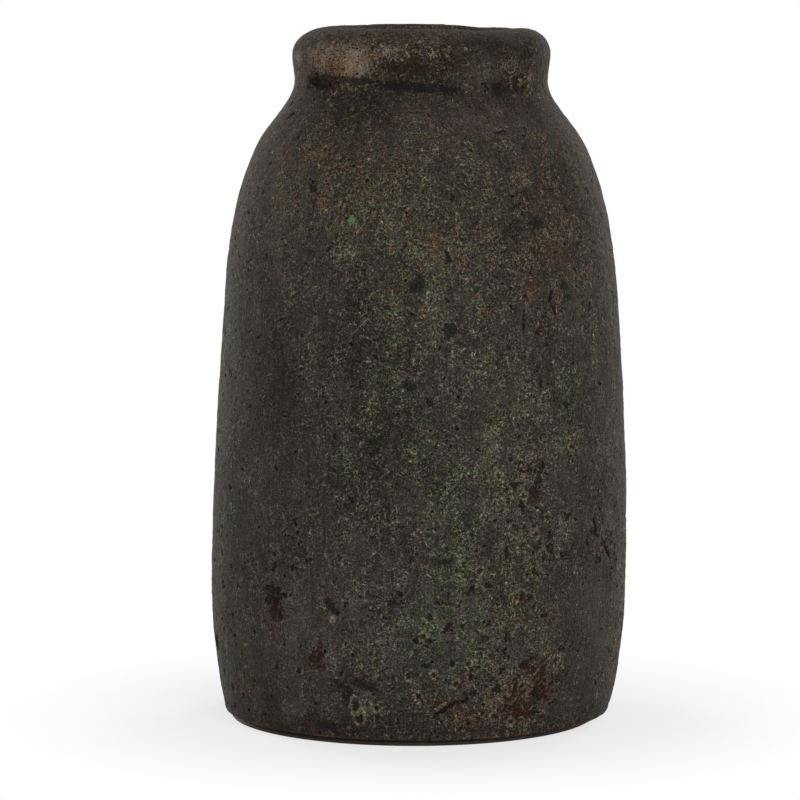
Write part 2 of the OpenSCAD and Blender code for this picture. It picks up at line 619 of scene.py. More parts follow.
def note(name, **kinds):
    """Note marks near an image point. Each row holds how far right of the point and above
    it the mark lies, its half width and half height, and if need be tilt and strength."""
    for kind, rows in kinds.items():
        for right, up, *look in rows:
            mark(kind, spot_at(name, right, up), *look)


def strew(name, *rows):
    """Many small marks, strewn by lot inside ovals near an image point; sizes in mm."""
    for kind, right, up, half_width, half_height, count, size, *strength in rows:
        for _ in range(count):
            angle = lot.uniform(0, 2 * math.pi)
            reach = math.sqrt(lot.random())
            spot = spot_at(name, right + half_width * reach * math.cos(angle),
                           up + half_height * reach * math.sin(angle))
            mark(kind, spot, size * lot.uniform(0.7, 1.3), size * lot.uniform(0.7, 1.3),
                 lot.uniform(-60, 60), *strength)


def burst(name, right, up, half_width, half_height, strength=0.9):
    """A burst bubble: a dark bottom inside a ring of pale dots."""
    mark("sore", spot_at(name, right, up), 0.9 * half_width, 0.9 * half_height)
    dots = round(4 * half_width)
    for dot in range(dots):
        angle = 2 * math.pi * dot / dots
        spot = spot_at(name, right + half_width * math.cos(angle),
                       up + half_height * math.sin(angle))
        mark("pale", spot, 1.7, 1.7, strength=strength * lot.uniform(0.4, 1.2))


def bursts(name, *rows):
    """Several burst bubbles near an image point."""
    for row in rows:
        burst(name, *row)


# %% Marks of the rim: tan bloom, a chip, the crease under the rim and the crumbs
note("rim_patch", tan=[(-8, 0, 27, 13, 0, 1.5), (30, 7, 20, 7, 0, 0.45)],
     straw=[(36, 8, 34, 9, 0, 1.2), (66, 9, 22, 7, 0, 0.8)], brown=[(0, 0, 44, 16, 0, 0.8)],
     dim=[(46, -3, 22, 4.6), (66, 0, 16, 6, 0, 0.7)])
note("rim_chip", pale=[(0, 0, 10, 6, 0, 1.8)])
# Under the rim the crease is a real groove, coloured near black as painted shade; the dim veil
# beside it is painted shade too
note("rim_crease", crease=[(4, 1, 34, 4, 4), (-40, 5, 26, 2.6, 3), (-66, 4, 18, 6.5)],
     dim=[(-70, 2, 30, 8, 0, 0.6)], smooth=[(-20, -8, 40, 8, 0, 0.7)])
# The first dim veil by the crumbs is painted shade in the hollow there
note("rim_crumbs", crumb=[(12, 4, 12, 7)], sore=[(-5, 1, 8, 4.6), (14, 4, 5, 4.6, -30)],
     straw=[(12, 15, 20, 7, 0, 0.9), (14, 8, 16, 6, 0, 0.9)],
     dim=[(-6, 1, 10, 5, -10, 1.1), (-26, 30, 34, 9, 0, 0.4), (24, 22, 10, 10, 0, 0.5)],
     smooth=[(-10, 22, 30, 12, 0, 0.8), (-14, -14, 50, 14, 0, 0.9)])
strew("rim_crumbs", ("sore", 12, 3, 13, 5, 9, 2.6), ("pale", 20, 5, 9, 4, 8, 1.7))
strew("rim_patch", ("pale", 40, 9, 26, 6, 18, 1.7, 0.75), ("pale", 70, 8, 14, 5, 8, 1.6, 0.6))

# %% Marks of the shoulder and the upper wall: rust, a moss dot, soot and dark dots
note("rust_spot", rust=[(0, 0, 3.4, 2.6, 0, 1.6), (-9, -4, 3.2, 2.6, 0, 1.3),
           (-32, -10, 3.6, 5, 20, 1.2)],
     sore=[(-1, 0, 2.2, 1.8, 0, 0.8)])
note("green_dot", moss=[(0, 0, 3.4, 3.4, 0, 2.4)],
     pale=[(0, 0, 3.2, 3.4, 0, 1.7), (-4, -20, 16, 18, 0, 0.28)])
note("dark_spot_high", soot=[(0, 0, 7.6, 6), (1.5, 4, 4, 5), (-10, 16, 3, 8, -32, 0.6),
           (-30, -15, 2.6, 7, -28, 0.6)],
     rust=[(-13, -2, 3.2, 2.4, 0, 1.3), (12, 28, 4.5, 8)])
note("dark_spot_middle", soot=[(0, 0, 6.4, 7.4), (65, 66, 7, 5.4), (50, 77, 3.6, 9, 42, 0.6),
           (60, 85, 3.6, 7, -35, 0.6), (84, 26, 6, 4.4, 0, 0.8), (88, 18, 4.4, 3.4, 0, 0.7),
           (67, -11, 3.4, 3, 0, 0.8), (59, -26, 2.6, 7, 40, 0.7)],
     sore=[(65, 66, 3.4, 2.4, 0, 0.8), (61, -2, 3, 3.4, 0, 0.8), (111, 9, 3, 6, 0, 0.8),
           (108, 30, 2.4, 3.4, 0, 0.8)],
     crack=[(72, 19, 1.6, 6, 20, 0.8), (75, 10, 1.6, 5, -15, 0.8), (50, 3, 1.4, 8, 4, 0.8)],
     scar=[(102, 51, 4.6, 3.4, 0, 0.7)], dim=[(50, 60, 12, 22, 0, 0.35)])
note("dark_spot_low", soot=[(0, 0, 7, 4.6, 20), (13, -11, 3, 7, -35, 0.8)],
     dim=[(-20, -50, 14, 40, 0, 0.35)])
strew("dark_spot_middle", ("rust", 80, 42, 14, 8, 9, 3, 1.1), ("rust", 58, 25, 8, 6, 5, 2.6, 0.9))

# %% Marks at the right: a dark flake with ring-shaped pits below it, and a crack
note("flake_right", sore=[(-0.5, 8, 5.4, 13, 28, 1.2), (-4, 0, 4.6, 6, 10, 1.1)],
     scar=[(-4, -5, 6, 8, 12, 1.3), (1, -28, 2.4, 3), (31, 12, 2.4, 3)],
     pale=[(-4, 5, 1.1, 8, 30, 0.8), (3, 9, 1.1, 5, 30, 0.7), (16, 22, 9, 2.2, -16, 0.5),
           (30, 31, 8, 2, -26, 0.5)],
     moss=[(25, 26, 16, 8, 0, 0.7)], soot=[(-65, -45, 9, 4, 10, 0.7)],
     pitted=[(-12, -4, 14, 40), (6, -34, 26, 20)],
     smooth=[(23, 0, 15, 13, 0, 1.2), (14, -60, 12, 12)])
note("crack_right", crack=[(-9, 9, 1.9, 12, -24), (5, -7, 1.9, 9, -38)],
     pale=[(0, 5, 2.2, 18, -30, 0.5), (-2, -5, 2.6, 2.4, 0, 0.8)], rust=[(-3, -6, 4, 3, 0, 1.3)],
     sore=[(12, -3, 4, 2.4, 0, 0.8)], pitted=[(0, 0, 22, 18)])
for right, up in ((-12, -5), (-6, 25), (29, 15), (28, 24), (-3, -30), (6, -20), (2, -42),
                  (14, -43), (-10, -56), (-43, -51), (-18, -70), (24, -32), (-33, -9)):
    burst("flake_right", right, up, lot.uniform(1.8, 2.8), lot.uniform(2.2, 3.2), 0.7)
burst("flake_right", -30, 9, 2.6, 2.6)

# %% Marks at the lower left: two small flakes with pits above them, and a pale dot
note("scar_left", sore=[(0, 6, 7, 6, -20, 1.1)], scar=[(3, -1, 8.4, 12, -14, 1.3)],
     rust=[(4, -14, 6, 14, -6, 0.7), (-28, -29, 6, 4.2, 0, 1.3)],
     pale=[(-28, -28, 3.6, 2, 0, 0.8)], dim=[(-6, -60, 12, 10, 0, 0.4)])
note("scar_low", scar=[(0, -4, 9.6, 5.4, 0, 1.2), (1, 1, 6, 6, 0, 1.2), (2.5, 7, 3, 6)],
     pale=[(7, -4, 1.3, 6, -20, 0.7)], soot=[(12, 34, 4.6, 10, -34, 0.75)],
     smooth=[(-34, -20, 40, 40, 0, 0.6)])
note("pale_spot", pale=[(0, 0, 3, 3.2, 0, 1.7)],
     sore=[(0.6, -0.6, 1.1, 1.1), (-4, 4, 1.4, 1.4, 0, 0.8)], smooth=[(-18, -8, 22, 22, 0, 0.9)])
strew("scar_left", ("sore", 0, 9, 8, 6, 16, 2.2, 1.2), ("pale", 4, -16, 5, 12, 7, 1.8, 0.7),
      ("rust", -34, -52, 12, 12, 9, 3, 0.9), ("pale", -34, -52, 12, 12, 7, 1.8, 0.6))

# %% Marks near the foot: a pale net around burst bubbles, smears, pits and a crack
note("pale_ring", soot=[(4, 16, 13, 4.2, 6, 0.8), (-12, 15, 10, 3, 30, 0.7),
           (-23, -13, 12, 5, 0, 0.8)],
     sore=[(-9, 8, 4.4, 9, 18, 0.9)], scar=[(0.5, -8, 3.4, 4.6, 0, 1.4), (-18, -17, 5, 2.6)],
     pale=[(2.6, -6, 2.2, 2.6, 0, 1.4), (53, 3, 9, 1.6, -34, 0.7)],
     mauve=[(-50, -4, 14, 8, 0, 1.3)], crack=[(54, 0, 10, 1.8, -34), (62, 5, 8, 1.6, -10)],
     rust=[(58, 4, 10, 5, 0, 1.1)])
bursts("pale_ring", (-3, 2, 3.4, 6.4, 1.1), (-1, -6, 3.2, 4.6, 1.1), (4, 3, 4, 3, 0.8),
       (11, 1, 3, 3, 0.7))
strew("pale_ring", ("pale", 8, 0, 12, 6, 14, 1.6, 0.7))
for right, up in ((12, 32), (8, 36), (22, 21), (-12, 23), (-60, 22), (-42, 22), (37, 24)):
    mark("sore", spot_at("pale_ring", right, up), 2.0, 2.8, 20)
    mark("pale", spot_at("pale_ring", right + 2.2, up), 1.4, 3, 10, 0.6)
strew("pale_ring", ("pale", -50, -4, 12, 6, 10, 2.0, 0.6))

# %% Marks at the lower right: the flaked patch, its ridges and the rust around it
note("flaked_patch", pitted=[(-20, -6, 30, 26), (14, 2, 14, 20, 0, 0.7)],
     scar=[(-3, 9, 11, 6, -24, 1.4), (3, 1, 5.4, 17, 24, 1.5), (-9, -8, 10, 5.4, -28, 1.6),
           (-8, -20, 16, 8, -6, 1.3), (-9, 53, 3.4, 3.4, 0, 1.4)],
     sore=[(4, -9, 3.6, 11, 8, 0.9), (-20, 30, 2.4, 6)],
     pale=[(3, 5, 1.3, 11, 40, 0.9), (-1, 0, 1.1, 9, 34, 0.8), (-3, -8, 1.2, 9, 60, 0.9),
           (-14, -14, 1.2, 8, 50, 0.9), (2.3, -19, 1.5, 1.5, 0, 1.8)],
     rust=[(12, -6, 12, 16, 0, 0.6), (-14, -20, 30, 12, 0, 0.6), (-44, -24, 16, 8, 0, 0.8),
           (18, 43, 2, 10, 6, 0.9)],
     smooth=[(56, 34, 24, 60, 0, 0.9)], dim=[(-62, -16, 16, 10, 0, 0.5), (-42, 6, 10, 8, 0, 0.5)])
strew("flaked_patch", ("scar", 14, -6, 9, 10, 14, 2.6, 1.1), ("sore", -3, 11, 10, 4, 6, 2.2),
      ("sore", 14, -6, 9, 10, 6, 1.8), ("sore", -10, -21, 16, 6, 8, 2.0),
      ("pale", -12, -16, 14, 9, 14, 1.5, 0.8), ("pale", -20, 4, 12, 9, 14, 1.5, 0.7))
bursts("flaked_patch", (18, 11, 3.4, 3.4), (-14, -27, 3, 2.6), (-26, -22, 3.6, 3.2),
       (-7, -3, 3, 2.6), (-12, 56, 4.6, 3.8, 0.7))
for right, up in ((-84, 6), (-68, 7), (-54, 1), (-78, -7), (-75, 32), (-35, -19), (-46, 14)):
    burst("flaked_patch", right, up, lot.uniform(1.8, 3), lot.uniform(2, 3), 0.7)
    mark("scar", spot_at("flaked_patch", right + 2, up - 2), 2.4, 2.4, strength=1.2)
strew("flaked_patch", ("pale", 40, 2, 5, 12, 6, 1.6, 0.5), ("rust", 40, 2, 6, 14, 6, 2.4, 0.8))

# %% Broad veils of colour: moss, straw, mauve, brown, and places worn smooth
note("rim_crumbs", mauve=[(-14, 10, 20, 8), (-20, -18, 60, 16, 0, 0.8)])
note("rust_spot", moss=[(-74, -110, 20, 36, 0, 0.28)], straw=[(6, -6, 40, 24, 0, 0.6)],
     mauve=[(-20, 20, 30, 20, 0, 0.5)])
note("green_dot", straw=[(-2, 2, 22, 24, 0, 0.55), (-44, 26, 40, 44, 0, 0.65)],
     mauve=[(-62, 10, 34, 70), (-80, -100, 30, 90, 0, 0.9)])
note("dark_spot_high", moss=[(6, -6, 44, 56, 0, 0.26)], straw=[(8, 22, 42, 34, 0, 0.7)])
note("dark_spot_middle", brown=[(77, 60, 30, 34, 0, 0.9), (70, 30, 20, 20, 0, 0.6)])
note("dark_spot_low", moss=[(-14, 20, 14, 56, 0, 0.46), (6, -34, 20, 24, 0, 0.5)],
     straw=[(60, -30, 20, 50, 0, 0.35)])
note("flake_right", straw=[(-16, -70, 26, 40, 0, 0.4)], mauve=[(67, 31, 26, 90, 0, 0.6)])
note("crack_right", moss=[(-36, 96, 16, 36, 0, 0.4), (-40, 60, 18, 14, 0, 0.35)])
note("scar_left", mauve=[(-10, 84, 36, 46, 0, 0.9), (24, 150, 16, 44, 0, 0.5)],
     brown=[(-30, -40, 16, 40, 0, 0.6), (0, 116, 18, 70, 0, 0.3)],
     smooth=[(4, 110, 26, 70, 0, 0.6)])
note("pale_spot", mauve=[(10, 20, 40, 34, 0, 0.7), (30, -8, 20, 24, 0, 0.6)])
note("scar_low", mauve=[(-24, 12, 50, 44, 0, 1.3), (-30, -26, 40, 20, 0, 0.9)])
note("pale_ring", moss=[(61, 99, 15, 84, -2, 0.62), (45, 55, 17, 38, 8, 0.62),
           (78, 62, 12, 30, 0, 0.6), (66, 30, 20, 20, 0, 0.5), (-8, 160, 13, 30, 0, 0.35)],
     straw=[(-6, 42, 22, 24, 0, 0.35)])
note("flaked_patch", mauve=[(54, 40, 20, 60, 0, 0.7)], brown=[(-8, -10, 36, 26, 0, 0.7)])
IN_VIEW = len(marks)

# %% Marks at the sides and back: by lot, each kind at its own heights
BACK_FROM = math.radians(78)
RIM_HEIGHTS = (428, 444)
RIM_BLOOMS = 5
SMALL_SOOTS = 45
# Of each kind: how many, the smallest and largest half width, the lowest and highest place
BY_LOT = {"scar": (16, 3, 10, 12, 200), "sore": (22, 2.5, 6, 15, 330),
          "soot": (20, 3, 8, 30, 430), "pale": (22, 1.6, 4, 20, 420),
          "moss": (14, 14, 44, 60, 360), "rust": (10, 6, 20, 30, 440),
          "straw": (14, 16, 40, 60, 380), "mauve": (12, 16, 44, 20, 420),
          "brown": (12, 14, 40, 10, 440), "crack": (6, 1.4, 9, 60, 300),
          "pitted": (12, 12, 34, 20, 300), "smooth": (14, 14, 40, 60, 430),
          "crumb": (3, 10, 16, 400, 425)}
for kind, (count, small, large, low, high) in BY_LOT.items():
    for _ in range(count):
        angle = lot.uniform(BACK_FROM, 2 * math.pi - BACK_FROM)
        spot = spot_around(angle, lot.uniform(low, high))
        width = lot.uniform(small, large)
        mark(kind, spot, width, width * lot.uniform(0.6, 1.3), lot.uniform(-40, 40),
             lot.uniform(0.6, 1.1))
for _ in range(RIM_BLOOMS):
    spot = spot_around(lot.uniform(BACK_FROM, 2 * math.pi - BACK_FROM), lot.uniform(*RIM_HEIGHTS))
    mark("tan", spot, lot.uniform(14, 30), lot.uniform(8, 13), 0, lot.uniform(0.4, 0.8))
    mark("brown", spot, 30, 16, 0, 0.8)
for _ in range(SMALL_SOOTS):
    spot = spot_around(lot.uniform(0, 2 * math.pi), lot.uniform(20, 420))
    mark("soot", spot, lot.uniform(1.5, 3.5), lot.uniform(1.2, 3), lot.uniform(-60, 60),
         lot.uniform(0.4, 0.8))


# %% Paint the marks
def distances(gaps, normal, half_width, half_height, tilt):
    """How far each gap reaches from a mark's middle; 1 is the edge of its oval."""
    along = Vector((0, 0, 1)).cross(normal).normalized()
    upward = normal.cross(along)
    across = math.cos(tilt) * along - math.sin(tilt) * upward
    length = math.sin(tilt) * along + math.cos(tilt) * upward
    return np.sqrt((gaps @ np.array(across) / half_width) ** 2
                   + (gaps @ np.array(length) / half_height) ** 2)


def paint(piece):
    """Write one attribute per kind of mark."""
    at = coordinates(piece)
    fields = {kind: np.zeros(len(at)) for kind in KINDS}
    lowest, highest = at[:, 2].min(), at[:, 2].max()
    for kind, centre, normal, half_width, half_height, tilt, strength in marks:
        reach = 3 * max(half_width, half_height)
        if centre.z + reach < lowest or centre.z - reach > highest:
            continue
        near = np.flatnonzero(np.abs(at - np.array(centre)).max(axis=1) < reach)
        distance = distances(at[near] - np.array(centre), normal, half_width, half_height, tilt)
        value = np.exp(-distance ** 2) if kind in VEILS else np.clip(1 - distance, 0, 1)
        fields[kind][near] = np.maximum(fields[kind][near], strength * value)
    for kind, values in fields.items():
        field = piece.data.attributes.new(kind, "FLOAT", "POINT")
        field.data.foreach_set("value", values.astype(np.float32))


for band in bands:
    paint(band)
print(IN_VIEW, "marks in view,", len(marks) - IN_VIEW, "more by lot")

# %% [markdown]
# ## The relief of the crust
# The slip bubbled and pitted in the fire. Its surface is a sponge of shallow pits a
# few millimetres wide, with some deeper holes. Flakes have come off down to the red
# clay. Geometry Nodes carve all of this into the shown side. The side that lies on
# the clay sinks a little, so that no flake can break through it.

# %% Patterns of the crust, for both kinds of tree
# Of each kind with a ragged edge: how far the edge spreads and frays, and the values
# between which the mark starts
EDGES = {"scar": (2.0, 1.6, 0.16, 0.40), "sore": (1.8, 1.6, 0.16, 0.40),
         "soot": (0.8, 1.0, 0.10, 0.45), "crack": (0.7, 0.5, 0.12, 0.35),
         "pale": (0.9, 1.0, 0.15, 0.45), "crease": (0.3, 0.3, 0.05, 0.45)}
DUST_IN_EDGES = 1.2
LOW_DOWN = (90 * MM, 240 * MM)


def crust_patterns(rest, painted):
    """Masks and values of the crust; `painted` gives the value of a painted kind."""
    at = shift_by_noise(rest, 7, 1.1)
    curled = shift_by_noise(at, 2, 0.5)
    drawn = vector_of("MULTIPLY", {0: rest, 1: (1, 1, 0.55)})
    ragged = clouds(rest, 8, detail=4, rough=0.65) - 0.5
    frayed = clouds(rest, 2.6, detail=2, rough=0.6) - 0.5
    dust = clouds(curled, 1.5, detail=1) - 0.5
    p = {"at": at, "curled": curled, "drawn": drawn, "ragged": ragged, "frayed": frayed}

    # How crusty each place is: in patches, less where the jar is worn smooth
    patches = rise(clouds(drawn, 13, detail=3, rough=0.6), 0.36, 0.64)
    low_down = fall(axes_of(rest)[2], *LOW_DOWN, 0.35)
    pitted = painted("pitted") + painted("moss") * 0.4 + low_down
    veil = larger(painted("moss"), larger(painted("tan"), painted("straw")))
    p["crusty"] = rise(patches * 0.55 + veil * 0.4 + painted("pitted") * 0.3
                       + painted("smooth") * -0.5, -0.35, 1.0)

    # Pores of 2 mm, holes of 3 mm with a raised rim on one side, and larger hollows
    pore_gap, pore_colour, *_ = cells(curled, 2.9)
    pore_lot = axes_of(pore_colour)[0] + p["crusty"] * 0.6
    p["pore"] = fall(pore_gap + dust * 0.25, 0.12, 0.30) * rise(pore_lot, 0.85, 1.05)
    hole_gap, hole_colour, *_ = cells(curled, 8.5)
    gap = hole_gap + frayed * 0.30 + dust * 0.16
    open_here = rise(axes_of(hole_colour)[0] + pitted * 0.35, 0.80, 0.84)
    p["hole"] = fall(gap, 0.09, 0.16) * open_here
    p["ring"] = (rise(gap, 0.14, 0.19) * fall(gap, 0.22, 0.32) * open_here
                 * rise(frayed, -0.02, 0.10))
    sore = (clouds(curled, 7.5, detail=3, rough=0.6) + pitted * 0.09
            + painted("smooth") * -0.05)
    p["hollow"] = rise(sore, 0.65, 0.69)
    p["halo"] = rise(sore, 0.57, 0.64) * (1 - p["hollow"])

    # Painted marks get a ragged edge
    for kind, (spread, fray, low, high) in EDGES.items():
        value = painted(kind)
        near = rise(value, 0, 0.15)
        edge = (value + ragged * spread * near + frayed * fray * near
                + dust * DUST_IN_EDGES * near)
        p[kind] = rise(edge, low, high)
    p["scar"] = p["scar"] * fall(frayed + dust * 0.5, 0.07, 0.13)
    return p


# %% Carve the relief
# How far each pattern stands out of the surface, in mm
HEIGHTS = {"hole": -1.2, "hollow": -0.9, "halo": 0.08, "ring": 0.15, "scar": -0.9,
           "sore": -1.2, "crack": -1.3, "crease": -1.6, "pale": 0.25}
PORE_DEPTH = 0.4 * MM
LUMPS = 0.2 * MM
GRAIN = 0.16 * MM
GRAIN_IN_CRUST = 1.6
CRUMBS = (-1.8 * MM, 1.6 * MM)
SINK = 2.4 * MM

relief, mesh_in, mesh_out = new_geometry_tree("crust relief")
rest = named("rest", "FLOAT_VECTOR")
p = crust_patterns(rest, named)
rough = 1 - p["soot"] * 0.8
lumps = swing(clouds(rest, 17, detail=2), 0.25, 0.75, LUMPS)
grain = swing(clouds(p["at"], 3.4, detail=1), 0.25, 0.75, GRAIN)
crumbs = rise(clouds(rest, 6, detail=3, rough=0.6), 0.3, 0.7, *CRUMBS)
carved = lumps + grain * rough * p["crusty"] * GRAIN_IN_CRUST + p["pore"] * rough * -PORE_DEPTH
for name, height in HEIGHTS.items():
    carved = carved + p[name] * (height * MM)
carved = carved + named("crumb") * crumbs
shown = named("shown")
distance = carved * shown + (1 - shown) * -SINK
connect(move(mesh_in, named("out", "FLOAT_VECTOR"), distance), mesh_out)

for band in bands:
    by_nodes(band, relief)
print_width("relief:", bands)

# %% [markdown]
# ## The clay inside and the pad
# Nine more pieces stand for their CAD solids in the same way. The clay rings get the
# finger ridges that a potter leaves inside, and their outer side sinks under the
# crust. The pad is a cut disc of rubber that was glued on slightly off the middle.

# %% Turn the clay rings
CLAY_COLUMNS = 240
CLAY_ROW = 2.5 * MM
CLAY_SINK = SINK + 0.2 * MM
RIDGES = 0.9 * MM
RIDGE_WIDTH = 70
DENTS = 0.5 * MM
DENT_WIDTH = 22
crust_node = surface_of(nodes["slip_crust"])


def inside_wall(spot):
    """True away from the crust: on the inside of the jar and in the joints."""
    return crust_node.find_nearest(spot)[3] > SKIN_GAP


fingers, mesh_in, mesh_out = new_geometry_tree("finger ridges")
here = add("GeometryNodeInputPosition")
flattened = vector_of("MULTIPLY", {0: here, 1: (1, 1, 7)})
ridges = swing(clouds(flattened, RIDGE_WIDTH, detail=2), 0.3, 0.7, RIDGES)
dents = swing(clouds(here, DENT_WIDTH, detail=2), 0.3, 0.7, DENTS)
shown = named("shown")
distance = (ridges + dents) * shown + (1 - shown) * -CLAY_SINK
ridged = store(mesh_in, "out", away(here), "FLOAT_VECTOR")
ridged = move(ridged, named("out", "FLOAT_VECTOR"), distance)
ridged = move(ridged, (1, 0, 0), sideways(axes_of(here)[2]))
connect(ridged, mesh_out)

clay_pieces = {}
for node in CLAY_NODES:
    piece = section_of(node, "clay_" + node, CLAY_ROW, inside_wall)
    mark_shown(piece, inside_wall)
    turn(piece, CLAY_COLUMNS)
    by_nodes(piece, fingers)
    clay_pieces[node] = piece

# %% Turn the pad
PAD_ROW = 1.2 * MM
PAD_SHIFT = -4.2 * MM
PAD_WIDER = 1.018
pad = section_of("base_pad", "glued_pad", PAD_ROW, lambda spot: True)
turn(pad, CLAY_COLUMNS)
edit_all(pad)
bpy.ops.transform.resize(value=(PAD_WIDER, PAD_WIDER, 1))
bpy.ops.transform.translate(value=(PAD_SHIFT, 0, 0))
end_edit()
print("pad", round(pad.dimensions.x / MM, 1), "mm wide")

# %% [markdown]
# ## Materials
# The real surface isn't one colour. Fine threads of grey, khaki, green and rust run
# between dark pits. The crust's material builds that with the same patterns as its
# relief. What more than one material needs is a node group: the red clay that shows
# in the flakes and inside the jar, and a fine grain that lamps catch on all of them.

# %% Helpers for materials
def tone(red, green, blue):
    """A colour as it should look on screen, 0 to 255, as the linear values nodes use."""
    def linear(value):
        value /= 255
        return value / 12.92 if value < 0.04045 else ((value + 0.055) / 1.055) ** 2.4
    return (linear(red), linear(green), linear(blue), 1)


def blend_of(share, low, high):
    """Mix two colours."""
    return add("ShaderNodeMix", {0: share, 6: low, 7: high}, 2, data_type="RGBA")


def by_name(sockets):
    return {socket.name: Value(socket) for socket in sockets}


def new_group(name, inputs, outputs):
    """Start a shader node group; returns it, what comes in and where its results go."""
    tree = bpy.data.node_groups.new(name, "ShaderNodeTree")
    for way, sockets in (("INPUT", inputs), ("OUTPUT", outputs)):
        for label, kind in sockets.items():
            tree.interface.new_socket(label, in_out=way, socket_type=kind)
    given = by_name(tree.nodes.new("NodeGroupInput").outputs)
    work_in(tree)
    return tree, given, tree.nodes.new("NodeGroupOutput").inputs


def use(group, **values):
    """Add a node group; returns its outputs by name."""
    return by_name(new_node("ShaderNodeGroup", values, node_tree=group).outputs)


def new_material(name, roughness, specular):
    """Start a material with a plain Principled shader; returns it and the shader."""
    material = bpy.data.materials.new(name)
    material.use_nodes = True
    shader = material.node_tree.nodes["Principled BSDF"]
    shader.inputs["Roughness"].default_value = roughness
    shader.inputs["Specular IOR Level"].default_value = specular
    work_in(material.node_tree)
    return material, shader


def finish(shader, colour, height, strength, distance):
    """Give a shader its colour and its bump."""
    bump = add("ShaderNodeBump", {"Strength": strength, "Distance": distance, "Height": height})
    connect(colour, shader.inputs["Base Color"])
    connect(bump, shader.inputs["Normal"])


def painted(kind):
    """The value of a painted kind, in a shader tree."""
    return add("ShaderNodeAttribute", output=2, attribute_name=kind)


# %% Group: fired clay
NUMBER, VECTOR, COLOUR = "NodeSocketFloat", "NodeSocketVector", "NodeSocketColor"
fired_clay, given, result = new_group(
    "fired clay", {"Place": VECTOR}, {"Colour": COLOUR, "Height": NUMBER})
at = given["Place"]
smoke = rise(clouds(at, 32, detail=4, rough=0.6), 0.35, 0.65)
body = blend_of(smoke, tone(58, 34, 26), tone(32, 24, 20))
grit = rise(clouds(at, 1.6, detail=2, rough=0.7), 0.55, 0.72)
body = blend_of(grit * 0.6, body, tone(92, 68, 54))
dark = fall(clouds(at, 4, detail=3, rough=0.6), 0.30, 0.46)
body = blend_of(dark * 0.7, body, tone(20, 14, 13))
connect(body, result["Colour"])
connect(clouds(at, 1.8, detail=3, rough=0.6), result["Height"])

# %% Group: fine grain
ONE_METRE = 1 / MM
fine_grain, given, result = new_group(
    "fine grain", {"Place": VECTOR, "Scale": NUMBER}, {"Height": NUMBER})
scaled = vector_of("SCALE", {0: given["Place"], "Scale": given["Scale"]})
connect(clouds(scaled, ONE_METRE, detail=3, rough=0.65), result["Height"])

# %% Material: crust of slip, its ground and its threads
crust_material, shader = new_material("dark slip crust", roughness=0.9, specular=0.12)
rest = add("ShaderNodeAttribute", output=1, attribute_name="rest")
p = crust_patterns(rest, painted)
high = axes_of(rest)[2]

# Ground: soft patches of several widths, upright streaks, and a sandy grain
broad = clouds(p["drawn"], 50, detail=3, rough=0.55)
middle_spots = clouds(p["drawn"], 12, detail=3, rough=0.6)
small_spots = clouds(p["curled"], 3, detail=2, rough=0.6)
grains = clouds(p["curled"], 0.9, detail=1.5, rough=0.7)
specks = rise(clouds(p["at"], 0.9, detail=0), 0.66, 0.80)
upright = vector_of("MULTIPLY", {0: rest, 1: (1, 1, 0.08)})
streaks = clouds(upright, 1.6, detail=2, rough=0.6)
low_edge = fall(high + p["ragged"] * (12 * MM), 4 * MM, 24 * MM)

# Clusters of bubbles: dark pores with thin bright threads around them
cluster = rise(clouds(p["at"], 6, detail=3, rough=0.65) + p["crusty"] * 0.30, 0.58, 0.84)
bubble = cells(p["curled"], 3)[0]
seam = cells(p["curled"], 3, feature="DISTANCE_TO_EDGE")[0]
curl = calc("ABSOLUTE", clouds(p["curled"], 2.8, detail=1) - 0.5)
strokes = larger(fall(curl, 0.006, 0.036), fall(seam, 0.005, 0.08))
broken = rise(clouds(p["at"], 2.8, detail=2), 0.46, 0.60)
net = larger(broken * rise(cluster, 0, 1, 0.12, 1), p["pale"])
threads = strokes * net * rise(painted("dim"), 0.2, 1, 1, 0.2)

# %% The crust's hues: grey, mauve where worn, straw and green bloom, brown, rust
hue_spots = clouds(p["drawn"], 20, detail=4, rough=0.65)
tints = clouds(p["at"], 5, detail=2, rough=0.6) - 0.5
gilded = centred(cluster, 0.5)
mauve = rise(painted("mauve") + centred(hue_spots, -1.6) + tints * -1.2 + gilded * -0.6, 0, 0.8)
straw = rise(painted("straw") + centred(hue_spots, 1.8) + tints * 1.6 + gilded, -0.1, 0.8)
brown = rise(painted("brown") + rise(high, 240 * MM, 420 * MM, 0, 0.75) + tints * -1.6
             + gilded + low_edge * 0.5, 0.05, 0.95)
green = rise(painted("moss") + tints * 2.4 + centred(middle_spots, 0.6) + gilded * 0.7, 0.05, 0.95)
freckles = cluster * fall(tints, 0.04, 0.16) * rise(high, 150 * MM, 330 * MM, 0.15, 0.55)
rusty = rise(painted("rust") + p["ragged"] * 0.9 + p["frayed"] * 0.8 + freckles, 0.25, 0.95)


def hued(grey, *tones):
    """Grey, then the tones of mauve, straw, brown, green and rust, mixed by their masks."""
    mix = tone(*grey)
    for mask, colour in zip((mauve, straw, brown, green, rusty), tones):
        mix = blend_of(mask, mix, tone(*colour))
    return mix


dark_tone = hued((25, 21, 14), (26, 20, 15), (26, 23, 12), (29, 21, 14), (20, 24, 12), (38, 22, 11))
light_tone = hued((118, 113, 104), (117, 110, 104), (121, 117, 100), (122, 109, 98),
                  (114, 119, 97), (130, 109, 92))
thread_tone = hued((178, 172, 160), (174, 166, 156), (184, 177, 152), (182, 169, 147),
                   (160, 175, 132), (178, 150, 118))
glint = rise(clouds(rest, 1.5, detail=1), 0.40, 0.60)
thread_tone = blend_of(glint, blend_of(green, tone(116, 92, 62), tone(110, 120, 80)), thread_tone)

